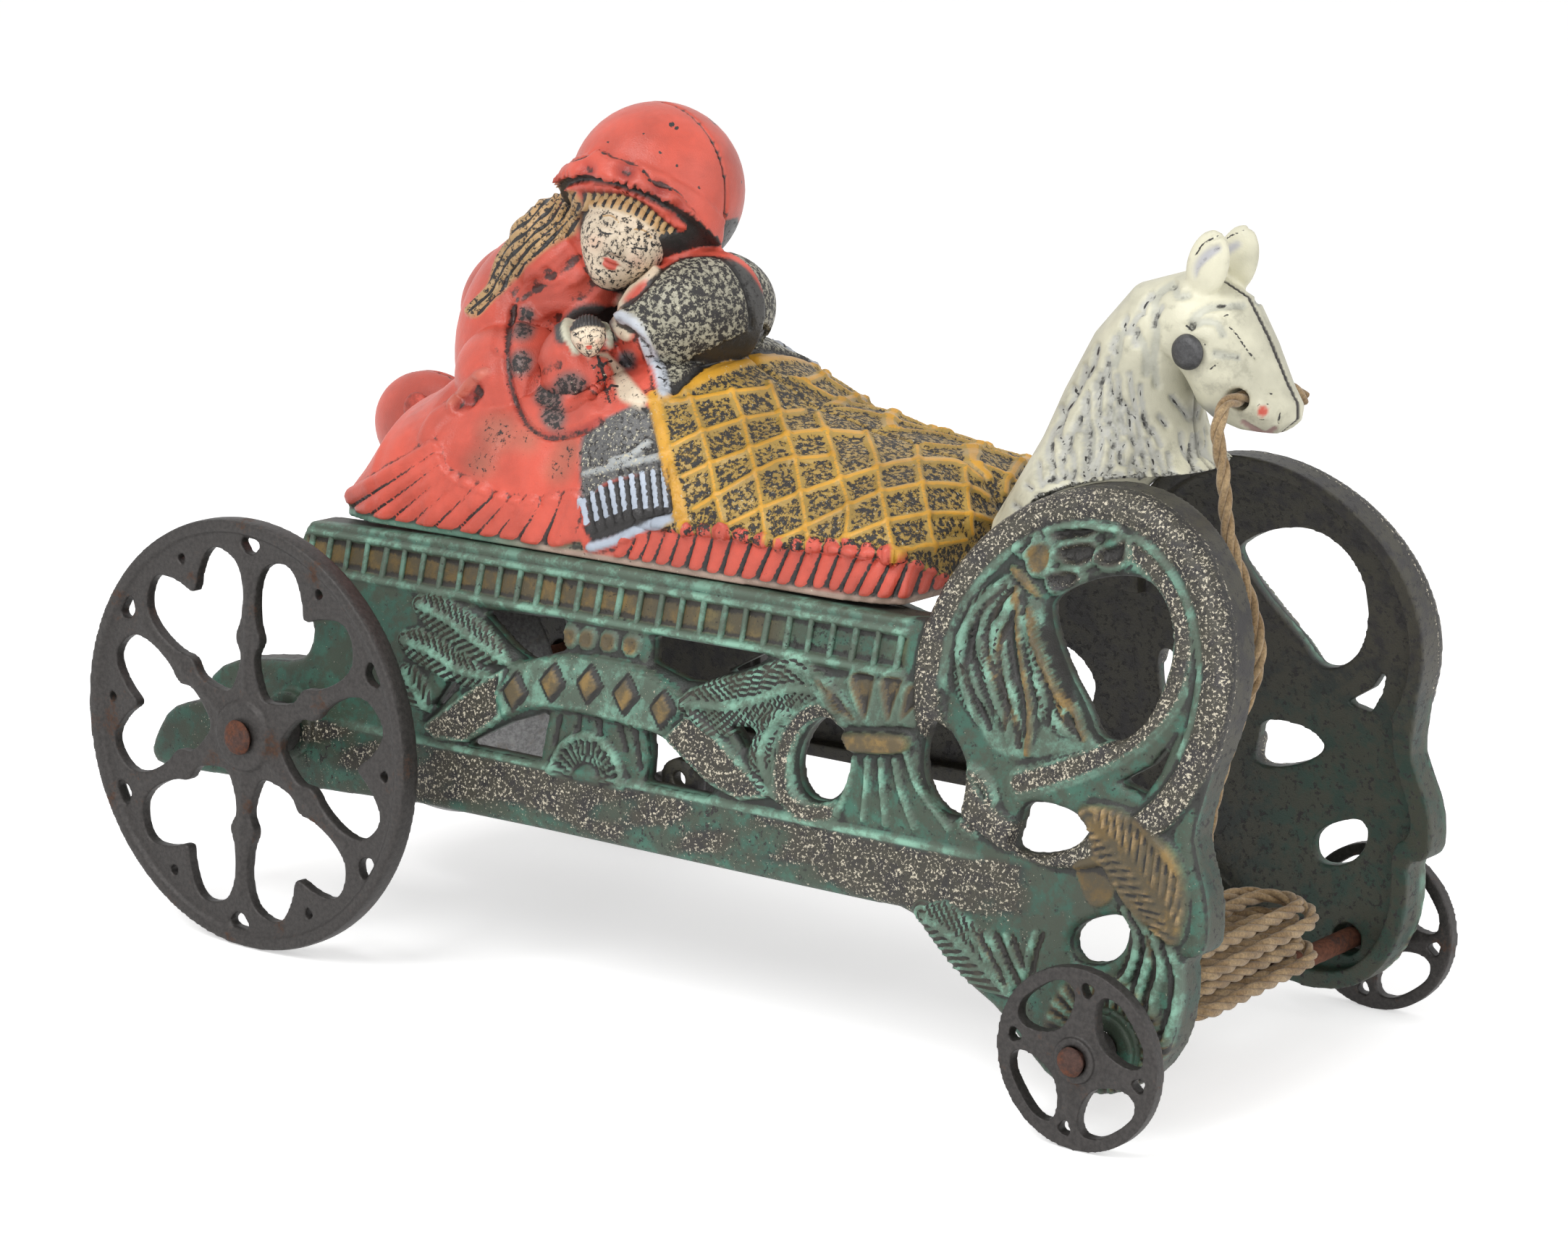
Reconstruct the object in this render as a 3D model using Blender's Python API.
"""Cast iron bell toy: a horse in front of a sleeping girl on an openwork carriage.

World frame: +X is forwards (the horse), +Z is up, z = 0 is the floor, and the origin is under
the middle of the toy. The outlines below are in millimetres and are counted from the front axle.
"""

import math

import bmesh
import bpy
import numpy as np
from mathutils import Matrix, Vector

MM = 0.001
GAP = 0.3                      # clearance between neighbouring castings, mm
FLAT = math.radians(0.2)       # faces this close to one plane are merged after a Boolean

# Driving dimensions, mm
TOY_LENGTH = 207.2
REAR_WHEEL_R = 35.04
FRONT_WHEEL_R = 13.2
WHEELBASE = 157.06
REAR_WHEEL_Y = 44.9
FRONT_WHEEL_Y = 41.8
FRONT_X = TOY_LENGTH / 2 - 15.1          # the leaf tips stand 15.1 mm ahead of the front axle
REAR_AXLE_R = 1.9
FRONT_AXLE_R = 1.7
AXLE_HOLE_R = 2.5
SIDE_HALF_WIDTH = 35.0         # outer face of a side frame, below BEND_START
BEND_START = 28.0              # height where the sides begin to curve inwards
SIDE_BEND = 0.004              # inward curve: SIDE_BEND * height above BEND_START, squared
PLATE = 3.0                    # thickness of the openwork plate
RIM_DEPTH = 6.0                # depth of the rim behind the plate's edge
WHEEL_SIDES = 48               # a multiple of four, so that a corner of the rim meets the floor
WALL = 2.6                     # wall of the hollow figure and horse
SEAM = 0.15                    # each half stops this far short of the centre plane
RING_X, RING_Z, RING_R = -10.9, 63.3, 25.8
LEDGE_TOP = 68.2
BELL_R = 22.4
BELL_DEPTH = 14.0
TWINE_D = 2.2
BONNET = (-110.0, 122.0, 13.8)
RIVET_EYE = (-6.8, 107.4)
RIVET_SKIRT = (-155.8, 82.8)
MOUTH = (0.0, 101.0)

for old in list(bpy.data.objects):
    bpy.data.objects.remove(old, do_unlink=True)

parts = bpy.data.collections.new("cast_iron_bell_toy")
bpy.context.scene.collection.children.link(parts)


# Materials
def material(name, colour, roughness, metallic):
    made = bpy.data.materials.new(name)
    made.use_nodes = True
    shader = made.node_tree.nodes["Principled BSDF"]
    shader.inputs["Base Color"].default_value = (*colour, 1.0)
    shader.inputs["Roughness"].default_value = roughness
    shader.inputs["Metallic"].default_value = metallic
    return made


GREEN = material("verdigris_green", (0.13, 0.24, 0.18), 0.7, 0.1)
RED = material("coral_red_paint", (0.62, 0.12, 0.08), 0.5, 0.0)
CREAM = material("cream_paint", (0.72, 0.70, 0.60), 0.5, 0.0)
IRON = material("dark_iron", (0.09, 0.08, 0.075), 0.55, 0.7)
RUST = material("rusty_axle", (0.14, 0.07, 0.05), 0.75, 0.4)
STEEL = material("grey_steel", (0.33, 0.33, 0.33), 0.4, 0.8)
EYE = material("eye_rivet_grey", (0.08, 0.08, 0.085), 0.35, 0.6)
TWINE = material("jute_twine", (0.42, 0.31, 0.19), 0.95, 0.0)


# Mesh helpers: every solid is worked out in millimetres from the front axle, then placed
def finish(name, bm, colour):
    """A closed object from bm, moved from front-axle millimetres to world metres."""
    bmesh.ops.remove_doubles(bm, verts=bm.verts, dist=1e-4)
    bmesh.ops.dissolve_degenerate(bm, dist=1e-4, edges=bm.edges)
    bmesh.ops.recalc_face_normals(bm, faces=bm.faces)
    bm.transform(Matrix.Scale(MM, 4) @ Matrix.Translation((FRONT_X, 0, 0)))
    mesh = bpy.data.meshes.new(name)
    bm.to_mesh(mesh)
    bm.free()
    mesh.shade_smooth()
    mesh.set_sharp_from_angle(angle=math.radians(35))
    made = bpy.data.objects.new(name, mesh)
    made.data.materials.append(colour)
    parts.objects.link(made)
    return made


def from_bmesh(bm):
    """A scratch object that a Boolean can read."""
    mesh = bpy.data.meshes.new("scratch")
    bm.to_mesh(mesh)
    bm.free()
    made = bpy.data.objects.new("scratch", mesh)
    bpy.context.scene.collection.objects.link(made)
    return made


def combine(base, others, operation):
    """base with each of the others joined to it or cut from it; the scratch objects go."""
    for other in others:
        target = from_bmesh(base)
        tool = from_bmesh(other)
        change = target.modifiers.new("change", "BOOLEAN")
        change.operation = operation
        change.object = tool
        change.use_hole_tolerant = True
        depsgraph = bpy.context.evaluated_depsgraph_get()
        mesh = bpy.data.meshes.new_from_object(target.evaluated_get(depsgraph))
        for used in (target, tool):
            bpy.data.objects.remove(used, do_unlink=True)
        base = bmesh.new()
        base.from_mesh(mesh)
        bmesh.ops.remove_doubles(base, verts=base.verts, dist=1e-4)
        bmesh.ops.dissolve_limit(base, angle_limit=FLAT, verts=base.verts, edges=base.edges)
        bmesh.ops.triangulate(base, faces=base.faces)
    return base


def union(base, others):
    return combine(base, others, "UNION")


def cut(base, others):
    return combine(base, others, "DIFFERENCE")


def box(x0, x1, y0, y1, z0, z1):
    bm = bmesh.new()
    bmesh.ops.create_cube(bm, size=1.0)
    place = Matrix.Translation(((x0 + x1) / 2, (y0 + y1) / 2, (z0 + z1) / 2))
    bm.transform(place @ Matrix.Diagonal((x1 - x0, y1 - y0, z1 - z0, 1.0)))
    return bm


def rod(x, z, radius, y0, y1, sides=24, radius_end=None):
    """A cylinder or cone along Y, from y0 to y1."""
    bm = bmesh.new()
    end = radius if radius_end is None else radius_end
    bmesh.ops.create_cone(bm, cap_ends=True, segments=sides, radius1=radius, radius2=end, depth=y1 - y0)
    bm.transform(Matrix.Translation((x, (y0 + y1) / 2, z)) @ Matrix.Rotation(math.radians(-90), 4, "X"))
    return bm


def ball(centre, radii, tilt=0.0, around=14, rings=8):
    """An ellipsoid; tilt turns it about Y, in degrees."""
    bm = bmesh.new()
    bmesh.ops.create_uvsphere(bm, u_segments=around, v_segments=rings, radius=1.0)
    turn = Matrix.Rotation(math.radians(tilt), 4, "Y")
    bm.transform(Matrix.Translation(centre) @ turn @ Matrix.Diagonal((*radii, 1.0)))
    return bm


def turned(profile, x, z, sides=40):
    """A solid of revolution about Y: profile is a closed loop of (radius, y)."""
    bm = bmesh.new()
    rows = []
    for k in range(sides):
        a = 2 * math.pi * k / sides
        rows.append([bm.verts.new((x + r * math.cos(a), y, z + r * math.sin(a))) for r, y in profile])
    for k in range(sides):
        here, there = rows[k], rows[(k + 1) % sides]
        for i in range(len(profile)):
            j = (i + 1) % len(profile)
            bm.faces.new((here[i], here[j], there[j], there[i]))
    bmesh.ops.remove_doubles(bm, verts=bm.verts, dist=1e-5)
    bmesh.ops.recalc_face_normals(bm, faces=bm.faces)
    return bm


def loft(rings):
    """A closed solid through rings of points that have the same count, with flat ends."""
    bm = bmesh.new()
    rows = [[bm.verts.new(p) for p in ring] for ring in rings]
    for a, b in zip(rows, rows[1:]):
        for i in range(len(a)):
            j = (i + 1) % len(a)
            bm.faces.new((a[i], a[j], b[j], b[i]))
    bm.faces.new(rows[0])
    bm.faces.new(list(reversed(rows[-1])))
    bmesh.ops.triangulate(bm, faces=[f for f in bm.faces if len(f.verts) > 4])
    bmesh.ops.recalc_face_normals(bm, faces=bm.faces)
    return bm


def plate(loops, y0, y1):
    """A flat plate in the XZ plane from a filled 2D curve: the first loop is its edge, others are holes."""
    curve = bpy.data.curves.new("plate", "CURVE")
    curve.dimensions = "2D"
    curve.fill_mode = "BOTH"
    curve.extrude = (y1 - y0) / 2
    for points in loops:
        spline = curve.splines.new("POLY")
        spline.points.add(len(points) - 1)
        spline.use_cyclic_u = True
        for point, (x, z) in zip(spline.points, points):
            point.co = (x, z, 0.0, 1.0)
    flat = bpy.data.objects.new("plate", curve)
    bpy.context.scene.collection.objects.link(flat)
    depsgraph = bpy.context.evaluated_depsgraph_get()
    mesh = bpy.data.meshes.new_from_object(flat.evaluated_get(depsgraph))
    bpy.data.objects.remove(flat, do_unlink=True)
    bm = bmesh.new()
    bm.from_mesh(mesh)
    bmesh.ops.remove_doubles(bm, verts=bm.verts, dist=1e-5)
    stand = Matrix.Translation((0, (y0 + y1) / 2, 0)) @ Matrix.Rotation(math.radians(90), 4, "X")
    bm.transform(stand)
    bmesh.ops.recalc_face_normals(bm, faces=bm.faces)
    return bm


def circle(x, z, radius, count=20, start=0.0):
    angles = [start + 2 * math.pi * k / count for k in range(count)]
    return [(x + radius * math.cos(a), z + radius * math.sin(a)) for a in angles]


def softened(points, passes=1):
    """The outline with its corners cut, as they are in a casting."""
    for _ in range(passes):
        cut_points = []
        for i, (x, z) in enumerate(points):
            nx, nz = points[(i + 1) % len(points)]
            cut_points.append((x * 0.75 + nx * 0.25, z * 0.75 + nz * 0.25))
            cut_points.append((x * 0.25 + nx * 0.75, z * 0.25 + nz * 0.75))
        points = cut_points
    return points


def mirrored(bm):
    """The left-hand copy of a right-hand piece."""
    other = bm.copy()
    other.transform(Matrix.Diagonal((1.0, -1.0, 1.0, 1.0)))
    bmesh.ops.reverse_faces(other, faces=other.faces)
    return other


# Side frames
EDGE = [
    (-38.0, 66.0), (-42.0, LEDGE_TOP), (-158.0, LEDGE_TOP), (-160.0, 64.0), (-159.5, 58.0),
    (-154.5, 51.5), (-154.5, 47.5), (-157.0, 45.0), (-165.0, 44.3), (-173.0, 42.8), (-177.5, 39.0),
    (-174.5, 36.0), (-181.0, 35.0), (-186.0, 33.0), (-189.0, 28.5), (-190.4, 25.0), (-188.5, 22.9),
    (-182.0, 23.2), (-150.0, 24.8), (-128.0, 26.4), (-42.0, 26.4), (-34.0, 26.6), (-30.0, 22.5), (-25.0, 18.0),
    (-18.0, 14.2), (-14.0, 10.0), (-9.5, 6.0), (-4.5, 5.2), (2.0, 6.3), (7.0, 9.8), (10.5, 15.5),
    (11.6, 22.0), (11.2, 28.0), (14.2, 28.6), (15.2, 31.0), (14.8, 36.5), (12.6, 42.0), (11.5, 45.5),
    (13.0, 50.5),
]
RING_EDGE = [
    (RING_X + RING_R * math.cos(a), RING_Z + RING_R * math.sin(a))
    for a in np.radians(np.arange(-20, 171, 9.5))
]
WINDOWS = [
    [(-120.5, 58.2), (-113.0, 53.6), (-109.0, 52.0), (-101.8, 54.6), (-103.0, 59.0)],
    [(-121.0, 37.0), (-105.0, 37.0), (-103.8, 44.8), (-111.5, 42.0)],
    [(-129.0, 40.0), (-125.5, 43.0), (-121.5, 47.0), (-124.5, 46.4)],
    [(-85.5, 59.0), (-85.0, 55.0), (-78.0, 53.3), (-75.0, 53.5), (-65.5, 57.5), (-63.0, 59.2)],
    [(-84.6, 45.2), (-83.6, 41.0), (-84.0, 37.0), (-72.0, 37.0), (-71.0, 38.2), (-75.5, 41.2), (-80.0, 43.8)],
    [(-68.5, 48.2), (-65.5, 44.8), (-63.6, 48.5)],
    [(-50.5, 52.4), (-54.0, 51.0), (-56.3, 46.0), (-55.5, 41.3), (-52.5, 39.3), (-48.5, 40.3),
     (-46.0, 44.5), (-46.2, 48.5)],
    [(-34.2, 51.0), (-34.0, 46.5), (-31.5, 42.8), (-28.5, 41.3), (-26.0, 41.8), (-25.2, 46.0),
     (-27.0, 50.5), (-31.0, 54.5), (-33.5, 54.3)],
    [(-15.8, 45.8), (-16.5, 42.0), (-17.6, 38.4), (-13.5, 38.0), (-7.5, 40.0), (-4.0, 43.0), (-8.0, 45.8)],
    [(-0.8, 50.6), (3.5, 49.6), (5.6, 53.0), (7.2, 58.4), (4.0, 53.6)],
    [(-6.8, 29.2), (-6.4, 24.2), (-1.5, 24.4), (2.2, 27.0), (3.0, 31.5), (0.5, 32.6)],
    [(4.9, 68.0), (3.2, 74.3), (-2.0, 78.2), (-9.5, 77.4), (-16.5, 74.0), (-17.0, 71.5),
     (-12.5, 64.5), (-8.0, 60.0), (-5.2, 55.6), (-1.0, 56.0), (3.2, 60.0)],
]
POCKET = [
    (-156.5, 65.4), (-156.5, 57.0), (-151.5, 52.0), (-151.5, 46.5), (-156.0, 42.0), (-168.0, 40.5),
    (-168.0, 27.5), (-150.0, 27.8), (-38.0, 29.6), (-32.0, 27.6), (-26.5, 21.8), (-20.0, 17.4),
    (-15.5, 14.0), (-11.0, 9.6), (-4.5, 8.0), (1.5, 9.0), (5.0, 12.0), (7.8, 17.0), (8.8, 22.0),
    (8.4, 30.0), (11.6, 32.0), (11.4, 36.0), (9.6, 41.0), (8.4, 45.0), (9.0, 52.0), (-20.0, 60.0),
    (-40.0, 65.4),
]
RIBBON = [
    (-126.0, 37.0), (-118.0, 38.5), (-111.5, 42.5), (-103.5, 45.5), (-94.0, 46.5), (-87.0, 46.0),
    (-80.5, 43.5), (-70.5, 38.0), (-55.0, 37.0), (-63.5, 41.5), (-74.5, 49.5), (-80.0, 52.5),
    (-87.0, 54.2), (-95.0, 54.7), (-105.0, 53.4), (-112.5, 50.0), (-118.5, 44.5),
]
LEAF = [
    (-5.5, 40.0), (-2.0, 38.3), (3.0, 36.0), (8.0, 31.8), (14.2, 29.2), (14.6, 35.0), (12.2, 41.5),
    (8.0, 45.0), (2.0, 46.6), (-4.0, 45.4),
]


def half_width(z):
    """Distance of a side frame's outer face from the centre plane at height z."""
    return SIDE_HALF_WIDTH - SIDE_BEND * max(0.0, z - BEND_START) ** 2


def side_frame(lug):
    """A right-hand side frame. It is made flat, y = 0 at its outer face, and then curved inwards.

    lug: whether it has the small pierced lug that stands behind the middle window.
    """
    edge = softened(EDGE)
    start = next(i for i, p in enumerate(edge) if p[0] > RING_X and p[1] > 49.0)
    silhouette = edge[1:start] + RING_EDGE
    holes = WINDOWS[:-1] + [softened(WINDOWS[-1])]
    frame = cut(plate([silhouette, *holes], 0.0, RIM_DEPTH), [
        plate([softened(POCKET)], PLATE, RIM_DEPTH + 2.0),
        plate([circle(RING_X, RING_Z, RING_R - 2.4, 36)], PLATE, RIM_DEPTH + 2.0),
    ])
    raised = [
        plate([circle(RING_X, RING_Z, RING_R - 0.6, 32), circle(RING_X, RING_Z, RING_R - 4.4, 32)], -1.2, 1.0),
        plate([softened(RIBBON)], -1.1, 1.0),
        plate([softened(LEAF)], -1.4, 1.0),
        box(-157.5, -40.5, -1.4, 1.0, 65.2, LEDGE_TOP - 0.4),
        box(-156.0, -37.5, -1.0, 1.0, 59.6, 60.8),
        box(-104.0, -86.0, -1.0, 1.0, 54.4, 58.8),
        box(-47.5, -34.8, -1.8, 1.0, 48.8, 52.2),
        plate([[(-103.0, 37.6), (-86.0, 37.6), (-87.5, 44.0), (-101.5, 44.0)]], -0.9, 1.0),
        plate([[(-48.5, 38.0), (-34.5, 38.0), (-37.5, 48.0), (-45.5, 48.0)]], -1.0, 1.0),
    ]
    frame = union(frame, raised)
    bosses = [rod(0.0, FRONT_WHEEL_R, 5.0, -1.5, 1.0), rod(-WHEELBASE, REAR_WHEEL_R, 5.5, -2.0, 1.0)]
    bores = [
        rod(0.0, FRONT_WHEEL_R, AXLE_HOLE_R, -4.0, RIM_DEPTH + 2.0, 20),
        rod(-WHEELBASE, REAR_WHEEL_R, AXLE_HOLE_R, -4.0, RIM_DEPTH + 2.0, 20),
    ]
    if lug:
        bosses += [box(-84.5, -77.0, 2.0, 7.0, 29.0, 35.0), rod(-80.7, 37.0, 3.6, 4.6, 6.8, 20),
                   box(-84.3, -77.1, 4.6, 6.8, 34.0, 37.0)]
        bores.append(rod(-80.7, 37.4, 1.2, 2.0, 9.0, 12))
    frame = cut(union(frame, bosses), bores)
    for height in range(int(BEND_START), 90, 9):
        geometry = list(frame.verts) + list(frame.edges) + list(frame.faces)
        bmesh.ops.bisect_plane(frame, geom=geometry, plane_co=(0, 0, height), plane_no=(0, 0, 1))
    bmesh.ops.triangulate(frame, faces=frame.faces)
    for v in frame.verts:
        v.co.y = v.co.y - half_width(v.co.z)
    return frame


finish("right_side_frame", side_frame(lug=True), GREEN)
finish("left_side_frame", mirrored(side_frame(lug=False)), GREEN)


# Figure: the sleeping girl, the pillow and the quilt, cast as two hollow halves
BED = LEDGE_TOP + GAP
# Stations along the toy: x, half width at the ledge, height of the ridge, squareness of the section
QUILT_AND_SKIRT = [
    (-158.0, 20.0, 73.5, 0.8), (-152.5, 26.0, 77.5, 0.8), (-146.0, 28.2, 88.0, 0.75),
    (-136.0, 28.3, 94.0, 0.7), (-124.0, 28.3, 94.0, 0.7), (-110.0, 28.2, 95.0, 0.75),
    (-98.0, 28.2, 99.5, 0.8), (-90.0, 28.2, 97.0, 0.75), (-80.0, 28.2, 92.5, 0.7),
    (-66.0, 28.0, 90.0, 0.65), (-52.0, 27.6, 86.5, 0.65), (-46.5, 26.5, 83.5, 0.65), (-43.5, 24.5, 79.0, 0.7),
]


def body_ring(x, width, height, square, low, centre):
    """Half a cross-section: over the top from the centre plane to the ledge, and back under."""
    ring = []
    foot = BED + 2.0
    for t in np.radians(np.linspace(90, 0, 7)):
        y = centre - (width + centre) * math.cos(t) ** square
        ring.append((x, y, foot + (height - foot) * math.sin(t) ** square))
    ring.append((x, -width, low))
    ring.append((x, centre, low))
    return ring


# The quilt lies on the bed as a raised sheet, puffed between its seams. The skirt falls in broad folds
QUILT_HEAD, QUILT_TAIL = -91.0, -44.2
QUILT_HEM = 75.5               # height where the quilt's fringe begins
QUILT_SEAMS = 4                # puffs along the quilt
PUFF_HIGH, PUFF_LOW = 1.4, 0.5
SKIRT_FROM, SKIRT_TO = -147.0, -107.0
SKIRT_FOLDS = 4
SKIRT_HEM = 69.9
SHEET_EDGE = 0.6
FOLD_OUT, FOLD_IN = 1.0, -0.6
# The bonnet's brim is a flat ring round the ball, tipped down and towards the toy's side
BRIM_AXIS = Vector((-0.04, -0.6, -0.8))
BRIM_SHIFT, BRIM_R, BRIM_DEPTH = 4.4, 14.3, 4.0


def body_at(x):
    """Half width, ridge height and squareness of the body at x, between its stations."""
    stations = np.array(QUILT_AND_SKIRT).T
    return [float(np.interp(x, stations[0], row)) for row in stations[1:]]


def wavy_sheet(x0, x1, waves, out, into, rise, low):
    """A sheet over the body from x0 to x1 that swells and sinks; rise lifts its ridge with the swell."""
    rings = []
    for k, x in enumerate(np.linspace(x0, x1, 2 * waves + 1)):
        width, height, square = body_at(x)
        swell = out if k % 2 else into
        ring = body_ring(x, width + swell, height + rise * swell, square, low, 0.5)
        rings.append([(px, py, max(pz, low + SHEET_EDGE)) for px, py, pz in ring[:-3]] + ring[-2:])
    return loft(rings)


def brim():
    bm = bmesh.new()
    bmesh.ops.create_cone(bm, cap_ends=True, segments=18, radius1=BRIM_R, radius2=BRIM_R, depth=BRIM_DEPTH)
    turn = BRIM_AXIS.to_track_quat("Z", "X").to_matrix().to_4x4()
    middle = Vector((BONNET[0], 0, BONNET[1])) + BRIM_AXIS.normalized() * BRIM_SHIFT
    bm.transform(Matrix.Translation(middle) @ turn)
    return bm


def figure_half():
    """The right-hand half. Outer masses are joined, then hollowed from the centre plane and from below."""
    shell = loft([body_ring(x, w, h, s, BED, 0.5) for x, w, h, s in QUILT_AND_SKIRT])
    sheets = [
        wavy_sheet(QUILT_HEAD, QUILT_TAIL, QUILT_SEAMS, PUFF_HIGH, PUFF_LOW, 1.0, QUILT_HEM),
        wavy_sheet(SKIRT_FROM, SKIRT_TO, SKIRT_FOLDS, FOLD_OUT, FOLD_IN, -1.0, SKIRT_HEM),
        brim(),
    ]
    bonnet_x, bonnet_z, bonnet_r = BONNET
    masses = [
        ball((-134.0, 0.0, 96.0), (13.0, 15.0, 19.0), tilt=12.0),
        ball((-126.0, 0.0, 108.0), (12.5, 12.0, 12.0), tilt=40.0),
        ball((bonnet_x, 0.0, bonnet_z), (bonnet_r, bonnet_r, bonnet_r)),
        ball((-114.6, -4.2, 115.0), (8.5, 7.0, 8.5)),
        ball((-100.0, 0.0, 103.0), (12.5, 17.0, 10.0), tilt=-30.0),
        ball((-127.0, -14.0, 91.0), (11.0, 9.0, 9.0), tilt=25.0),
        ball((-113.0, -13.0, 95.0), (7.0, 7.0, 7.0), around=12, rings=8),
        ball((-158.0, 0.0, 79.0), (12.0, 5.5, 9.5)),
        ball((-141.0, 0.0, 103.0), (10.5, 6.0, 7.0), tilt=-42.0),
    ]
    shell = union(shell, masses + sheets)
    hollow = loft([
        body_ring(x + (2.0 if i == 0 else 0.0) - (2.0 if i == len(QUILT_AND_SKIRT) - 1 else 0.0),
                  w - WALL, h - WALL, s, BED - 3.0, 3.0)
        for i, (x, w, h, s) in enumerate(QUILT_AND_SKIRT)
    ])
    spaces = [
        hollow,
        ball((-134.0, 0.0, 96.0), (13.0 - WALL, 15.0 - WALL, 19.0 - WALL), tilt=12.0),
        ball((-126.0, 0.0, 108.0), (12.5 - WALL, 12.0 - WALL, 12.0 - WALL), tilt=40.0),
        ball((bonnet_x, 0.0, bonnet_z), (bonnet_r - WALL, bonnet_r - WALL, bonnet_r - WALL)),
        ball((-100.0, 0.0, 103.0), (12.5 - WALL, 17.0 - WALL, 10.0 - WALL), tilt=-30.0),
        box(-170.0, -30.0, -SEAM, 40.0, 60.0, 145.0),
        rod(*RIVET_SKIRT, 1.6, -20.0, 3.0, 12),
        rod(-110.5, 101.0, 1.3, -30.0, 3.0, 12),
        rod(-106.0, 92.0, 1.4, -35.0, 3.0, 12),
    ]
    return cut(shell, spaces)


figure_right = figure_half()
finish("left_figure_half", mirrored(figure_right), RED)
finish("right_figure_half", figure_right, RED)


# Horse: head and neck, cast as two hollow halves that sit astride the front rings
# Sections from the rings up to the muzzle: x, z, half length, half width, and how far the section
# has turned forwards with the head, in degrees
NECK = [
    (-17.5, 71.0, 25.0, 24.0, 0.0), (-18.5, 80.0, 23.0, 23.5, 0.0), (-19.5, 87.0, 18.5, 21.0, 0.0),
    (-20.5, 92.0, 13.5, 16.0, 5.0), (-20.0, 98.0, 10.8, 11.0, 10.0), (-18.5, 105.0, 9.8, 8.8, 20.0),
    (-15.5, 111.0, 9.5, 8.0, 45.0), (-8.3, 111.5, 8.8, 7.9, 85.0), (-4.3, 108.0, 7.6, 7.8, 112.0),
    (-0.5, 103.5, 6.6, 6.6, 125.0), (2.8, 99.6, 5.2, 5.4, 135.0), (4.6, 97.4, 3.4, 3.8, 140.0),
]


def neck_ring(x, z, length, width, tilt, shrink=0.0):
    """One elliptical section; its long axis lies in the centre plane."""
    along = Vector((math.cos(math.radians(tilt)), 0, -math.sin(math.radians(tilt))))
    ring = []
    for t in np.radians(np.arange(0, 360, 18)):
        step = along * (length - shrink) * math.cos(t) + Vector((0, (width - shrink) * math.sin(t), 0))
        ring.append(Vector((x, 0, z)) + step)
    return ring


def horse_half():
    solid = loft([neck_ring(*section) for section in NECK])
    ears = [
        ball((-6.2, -4.0, 119.4), (2.0, 1.7, 5.2), tilt=8.0, around=10, rings=8),
        ball((-6.2, 4.0, 119.4), (2.0, 1.7, 5.2), tilt=8.0, around=10, rings=8),
    ]
    solid = union(solid, ears)
    inner = [neck_ring(*section, shrink=WALL) for section in NECK[:-2]]
    inner[0] = [p + Vector((0, 0, -4.0)) for p in inner[0]]
    spaces = [
        loft(inner),
        box(-60.0, 30.0, -SEAM, 60.0, 40.0, 150.0),
        rod(RING_X, RING_Z, RING_R + GAP, -60.0, 60.0, 60),
        box(-60.0, 30.0, -60.0, 60.0, 40.0, 73.5),
        rod(*RIVET_EYE, 1.6, -20.0, 5.0, 12),
        rod(*MOUTH, 1.6, -20.0, 5.0, 12),
    ]
    return cut(solid, spaces)


horse_right = horse_half()
finish("left_horse_half", mirrored(horse_right), CREAM)
finish("right_horse_half", horse_right, CREAM)


# Rivets that close the halves: a shank with two domed heads
def rivet(x, z, shank, head, reach):
    profile = [(0.01, -reach - 1.4)]
    profile += [(head * math.cos(t), -reach - 1.4 * math.sin(t)) for t in np.radians((60, 30, 0))]
    profile += [(shank, -reach), (shank, reach)]
    profile += [(head * math.cos(t), reach + 1.4 * math.sin(t)) for t in np.radians((0, 30, 60))]
    profile += [(0.01, reach + 1.4)]
    return turned(profile, x, z, 14)


finish("horse_eye_rivet", rivet(*RIVET_EYE, 1.2, 2.6, 8.3), EYE)
finish("skirt_rivet", rivet(*RIVET_SKIRT, 1.2, 3.0, 5.9), RED)


# Wheels
def heart(angle):
    """A heart-shaped opening, point to the hub, between two spokes."""
    half = [(7.3, 0.0), (9.1, 2.7), (11.4, 5.0), (12.8, 5.5), (14.7, 5.4), (16.9, 7.9), (20.1, 10.2),
            (23.4, 11.5), (26.4, 11.4), (29.4, 8.6), (29.7, 5.8), (27.0, 2.2), (24.6, 0.5)]
    shape = [(r, -t) for r, t in half] + [(r, t) for r, t in reversed(half[1:])]
    c, s = math.cos(angle), math.sin(angle)
    return [(-WHEELBASE + r * c - t * s, REAR_WHEEL_R + r * s + t * c) for r, t in shape]


def small_triangle(x, z, angle, tip, base, width):
    c, s = math.cos(angle), math.sin(angle)
    shape = [(tip, 0.0), (base, width / 2), (base, -width / 2)]
    return [(x + r * c - t * s, z + r * s + t * c) for r, t in shape]


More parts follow.
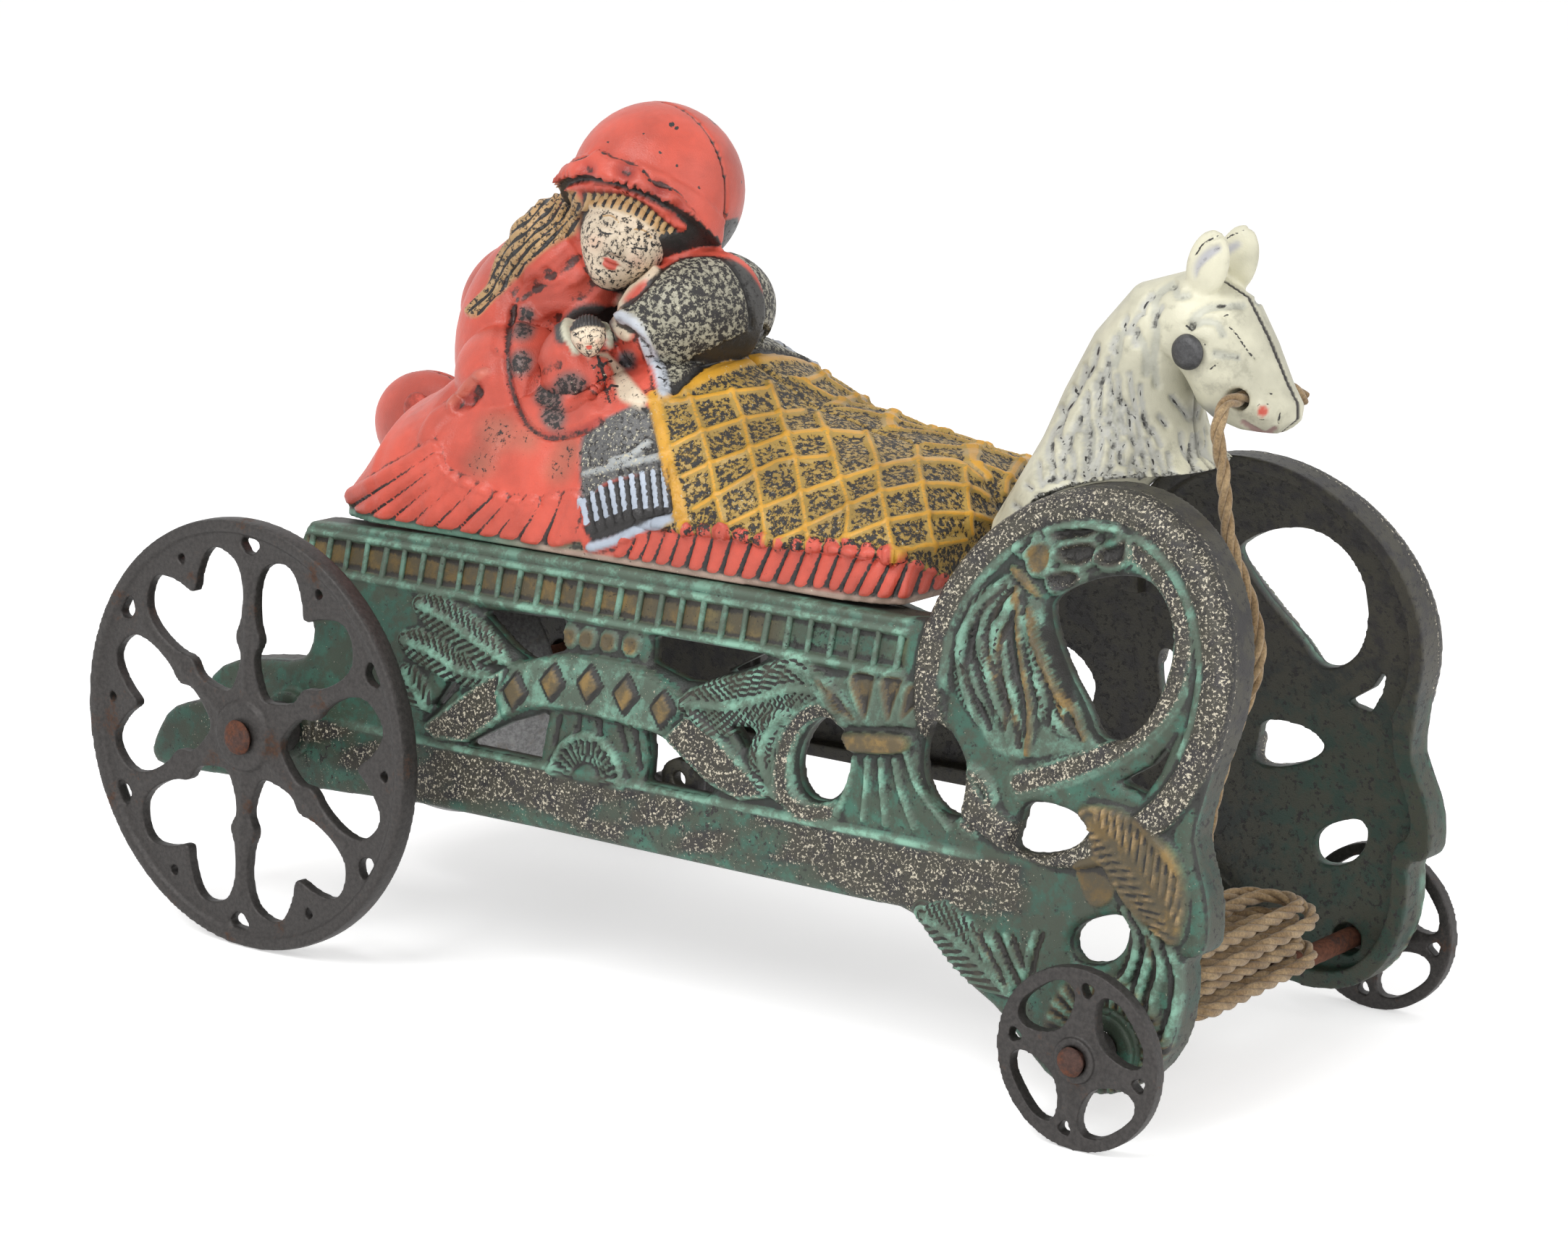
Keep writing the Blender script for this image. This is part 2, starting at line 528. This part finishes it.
def rear_wheel(side):
    """The six-spoked wheel; side is -1 on the right and +1 on the left."""
    x, z = -WHEELBASE, REAR_WHEEL_R
    first_spoke = math.radians(86.5)
    holes = []
    for k in range(6):
        spoke = first_spoke + math.radians(60) * k
        holes.append(heart(spoke + math.radians(30)))
        holes.append(small_triangle(x, z, spoke, 28.9, 32.3, 6.0))
        holes.append(small_triangle(x, z, spoke + math.radians(30), 28.7, 31.0, 2.6))
    y = side * REAR_WHEEL_Y
    wheel = plate([circle(x, z, REAR_WHEEL_R, WHEEL_SIDES), *holes], y - 1.3, y + 1.3)
    tyre = [circle(x, z, REAR_WHEEL_R - 0.3, WHEEL_SIDES), circle(x, z, REAR_WHEEL_R - 2.2, WHEEL_SIDES)]
    rim = plate(tyre, y - 1.9, y + 1.9)
    hub = rod(x, z, 5.6, y - 2.2, y + 2.2, 24)
    inner = sorted((side * (half_width(z) + 2.4), y))
    boss = rod(x, z, 4.2, inner[0], inner[1], 24)
    wheel = union(wheel, [rim, hub, boss])
    return cut(wheel, [rod(x, z, REAR_AXLE_R + GAP, -60.0, 60.0, 24)])


def petal(angle):
    """A rounded opening between two spokes of a front wheel."""
    half = [(4.7, 0.0), (5.6, 2.7), (7.4, 5.0), (9.3, 5.5), (10.7, 4.0), (11.2, 2.0)]
    shape = [(r, -t) for r, t in half] + [(r, t) for r, t in reversed(half[1:])]
    c, s = math.cos(angle), math.sin(angle)
    return [(r * c - t * s, FRONT_WHEEL_R + r * s + t * c) for r, t in softened(shape)]


def front_wheel(side):
    x, z = 0.0, FRONT_WHEEL_R
    first_spoke = math.radians(-9.0)
    holes = []
    for k in range(4):
        spoke = first_spoke + math.radians(90) * k
        holes.append(petal(spoke + math.radians(45)))
        holes.append(small_triangle(x, z, spoke, 8.6, 11.3, 3.0))
    y = side * FRONT_WHEEL_Y
    wheel = plate([circle(x, z, FRONT_WHEEL_R, WHEEL_SIDES), *holes], y - 1.1, y + 1.1)
    hub = rod(x, z, 3.3, y - 1.9, y + 1.9, 20)
    inner = sorted((side * (half_width(z) + 1.9), y))
    boss = rod(x, z, 3.0, inner[0], inner[1], 20)
    wheel = union(wheel, [hub, boss])
    return cut(wheel, [rod(x, z, FRONT_AXLE_R + GAP, -60.0, 60.0, 20)])


def axle(x, z, radius, face, head):
    """A plain rod with its ends peened over the hubs."""
    profile = [(0.01, -face - 1.6), (head * 0.8, -face - 1.5), (head, -face - 0.9), (head, -face - 0.3),
               (radius, -face - 0.3), (radius, face + 0.3), (head, face + 0.3), (head, face + 0.9),
               (head * 0.8, face + 1.5), (0.01, face + 1.6)]
    return turned(profile, x, z, 20)


finish("right_rear_wheel", rear_wheel(-1), IRON)
finish("left_rear_wheel", rear_wheel(1), IRON)
finish("right_front_wheel", front_wheel(-1), IRON)
finish("left_front_wheel", front_wheel(1), IRON)
finish("rear_axle", axle(-WHEELBASE, REAR_WHEEL_R, REAR_AXLE_R, REAR_WHEEL_Y + 2.2, 2.9), RUST)
finish("front_axle", axle(0.0, FRONT_WHEEL_R, FRONT_AXLE_R, FRONT_WHEEL_Y + 1.9, 2.2), RUST)


# Bell: a gong that turns with the rear axle, and a clapper that swings inside it
def gong():
    """A dished gong with its crown to the right and its mouth to the left."""
    crown_y = -9.0
    mouth_y = crown_y + BELL_DEPTH
    wall = 1.4
    outer, inner = [], []
    for t in np.radians(np.linspace(90, 0, 7)):
        share = math.cos(t) ** 0.8
        outer.append((max(BELL_R * share, REAR_AXLE_R + GAP), mouth_y - BELL_DEPTH * math.sin(t) ** 0.9))
        inner.append((max((BELL_R - wall) * share, REAR_AXLE_R + GAP), mouth_y - (BELL_DEPTH - wall) * math.sin(t) ** 0.9))
    return turned(outer + inner[::-1], -WHEELBASE, REAR_WHEEL_R, 36)


def collar(y0, y1, radius):
    profile = [(REAR_AXLE_R + GAP, y0), (radius, y0), (radius, y1), (REAR_AXLE_R + GAP, y1)]
    return turned(profile, -WHEELBASE, REAR_WHEEL_R, 24)


PIVOT = 9.0                    # the clapper's pin stands this far from the axle
CLAPPER_LENGTH = 8.0           # pin to the middle of the ball
CLAPPER_BALL_R = 2.6
PIN_BORE = 1.3


def clapper_carrier():
    """A flat strap on the axle that carries the clapper's pin round inside the gong."""
    x, z = -WHEELBASE, REAR_WHEEL_R
    arm = [box(x, x + PIVOT, -5.2, -3.2, z - 2.4, z + 2.4), rod(x + PIVOT, z, 2.6, -5.2, -3.2, 16)]
    strap = union(rod(x, z, 4.6, -5.2, -3.2, 20), arm)
    bores = [rod(x, z, REAR_AXLE_R + GAP, -9.0, 0.0, 20), rod(x + PIVOT, z, PIN_BORE, -9.0, 0.0, 12)]
    return cut(strap, bores)


def clapper_pin():
    profile = [(0.01, -5.9), (1.9, -5.9), (1.9, -5.5), (1.0, -5.5), (1.0, 1.0), (1.9, 1.0), (1.9, 1.7), (0.01, 1.7)]
    return turned(profile, -WHEELBASE + PIVOT, REAR_WHEEL_R, 14)


def clapper():
    """An eye on the pin, an arm and a ball, hanging straight down."""
    x, z = -WHEELBASE + PIVOT, REAR_WHEEL_R
    middle = -1.1
    hanging = [
        box(x - 0.9, x + 0.9, middle - 0.9, middle + 0.9, z - CLAPPER_LENGTH, z - 1.6),
        ball((x, middle, z - CLAPPER_LENGTH), (CLAPPER_BALL_R, CLAPPER_BALL_R, CLAPPER_BALL_R), around=12, rings=8),
    ]
    return cut(union(rod(x, z, 2.4, -2.9, 0.7, 16), hanging), [rod(x, z, PIN_BORE, -6.0, 3.0, 14)])


finish("bell_gong", gong(), STEEL)
finish("bell_hub_collar", collar(-12.6, -9.3, 4.4), RUST)
finish("bell_lock_collar", collar(-7.2, -5.5, 3.8), RUST)
finish("clapper_carrier", clapper_carrier(), RUST)
finish("clapper_pin", clapper_pin(), IRON)
finish("clapper", clapper(), IRON)


# Pull cord: it passes through the mouth, hangs down inside the rings, and ends in a small hank
def smooth_line(points, spacing):
    """Points at even spacing along a smooth curve through the given ones."""
    p = np.array(points, float)
    p = np.vstack([2 * p[0] - p[1], p, 2 * p[-1] - p[-2]])
    dense = []
    for a, b, c, d in zip(p, p[1:], p[2:], p[3:]):
        for t in np.linspace(0, 1, 24, endpoint=False):
            dense.append(0.5 * (2 * b + (c - a) * t + (2 * a - 5 * b + 4 * c - d) * t ** 2
                                + (3 * b - a - 3 * c + d) * t ** 3))
    dense.append(p[-2])
    dense = np.array(dense)
    run = np.concatenate([[0], np.cumsum(np.linalg.norm(np.diff(dense, axis=0), axis=1))])
    count = max(2, round(run[-1] / spacing))
    at = np.linspace(0, run[-1], count + 1)
    return np.stack([np.interp(at, run, dense[:, k]) for k in range(3)], axis=1)


def tube(name, line, diameter, resolution, colour):
    curve = bpy.data.curves.new(name, "CURVE")
    curve.dimensions = "3D"
    curve.bevel_depth = diameter / 2 * MM
    curve.bevel_resolution = resolution
    curve.use_fill_caps = True
    spline = curve.splines.new("POLY")
    spline.points.add(len(line) - 1)
    for point, (x, y, z) in zip(spline.points, line):
        point.co = ((x + FRONT_X) * MM, y * MM, z * MM, 1.0)
    made = bpy.data.objects.new(name, curve)
    made.data.materials.append(colour)
    parts.objects.link(made)
    return made


HANK_X, HANK_Y0, HANK_Y1 = 1.5, -26.0, 12.0    # it lies along the front axle
HANK_TURNS = 7.05              # two turns to each of four layers; the cord leaves the last turn
HANK_PITCH = 3.1               # between turns of one layer
HANK_RISE = 2.75               # between layers
HANK_INNER = 1.7               # half the width of the innermost turn
HANK_OUTER = HANK_INNER + 1.5 * HANK_PITCH
HANK_SLOPE = 0.006             # the layers lie a little looser towards the far side
HANK_LOW = FRONT_WHEEL_R + FRONT_AXLE_R + GAP + TWINE_D / 2
LOOP_STEPS = 24
STRAIGHT = 0.125               # share of a turn's points on each straight; the ends have the rest


def hank_line():
    """One unbroken line: it spirals out and in again, two turns to a layer, and climbs as it reverses."""
    line = []
    y0, y1 = HANK_Y0 + HANK_OUTER, HANK_Y1 - HANK_OUTER
    for k in range(int(LOOP_STEPS * HANK_TURNS) + 1):
        t = k / LOOP_STEPS
        layer, within = divmod(t, 2.0)
        spread = min(within, 1.5) * HANK_PITCH
        w = HANK_INNER + (spread if int(layer) % 2 == 0 else 1.5 * HANK_PITCH - spread)
        climb = layer + max(0.0, within - 1.5) / 0.5
        side, along = divmod(t % 1.0, 0.5)
        if along < STRAIGHT:
            x, y = -w, y1 + (y0 - y1) * along / STRAIGHT
        else:
            a = math.pi * (along - STRAIGHT) / (0.5 - STRAIGHT)
            x, y = -w * math.cos(a), y0 - w * math.sin(a)
        if side:
            x, y = -x, y0 + y1 - y
        line.append((HANK_X + x, y, HANK_LOW + climb * (HANK_RISE + HANK_SLOPE * (y - HANK_Y0))))
    return np.array(line)


def least_gap(line, diameter):
    """Least distance between two stretches of the line, less its diameter."""
    dense = []
    for a, b in zip(line, line[1:]):
        dense += [a + (b - a) * t for t in np.linspace(0, 1, 5, endpoint=False)]
    dense = np.array(dense)
    run = np.concatenate([[0], np.cumsum(np.linalg.norm(np.diff(dense, axis=0), axis=1))])
    near = 1e9
    for i in range(len(dense)):
        far_enough = np.abs(run - run[i]) > 3 * diameter
        near = min(near, np.linalg.norm(dense[far_enough] - dense[i], axis=1).min())
    return near - diameter


hank = hank_line()
print("hank: least gap to itself", round(least_gap(hank, TWINE_D), 3), "mm; length",
      round(float(np.linalg.norm(np.diff(hank, axis=0), axis=1).sum()), 1), "mm; points", len(hank))
tube("cord_hank", hank, TWINE_D, 1, TWINE)

heading = hank[-1] - hank[-2]
heading /= np.linalg.norm(heading)
meet = hank[-1] + heading * GAP
LIFT_R = 3.0                   # radius of the bend where the cord rises off the hank
lift = [
    meet + heading * (TWINE_D + LIFT_R * math.sin(a)) + np.array([0, 0, LIFT_R * (1 - math.cos(a))])
    for a in np.radians((84, 63, 42, 21, 0))
]
CORD = [
    (0.3, 12.5, 99.0), (0.1, 9.5, 100.7), (0.0, 5.0, MOUTH[1]), (0.0, 0.0, MOUTH[1]), (0.0, -6.0, MOUTH[1]),
    (-0.1, -9.6, 100.0), (0.2, -11.0, 96.6), (0.7, -10.2, 92.0), (1.4, -9.0, 82.0), (3.8, -8.0, 75.0),
    (6.2, -8.0, 68.0), (5.9, -8.0, 62.5), (3.0, -8.2, 54.0), (0.4, -8.4, 45.0), (-1.1, -8.5, 36.0),
]
falling = smooth_line([*CORD, tuple(lift[0])], 2.0 * TWINE_D)
cord = np.vstack([falling, lift[1:], [meet]])
print("pull cord: length", round(float(np.linalg.norm(np.diff(cord, axis=0), axis=1).sum()), 1),
      "mm; points", len(cord))
tube("pull_cord", cord, TWINE_D, 2, TWINE)
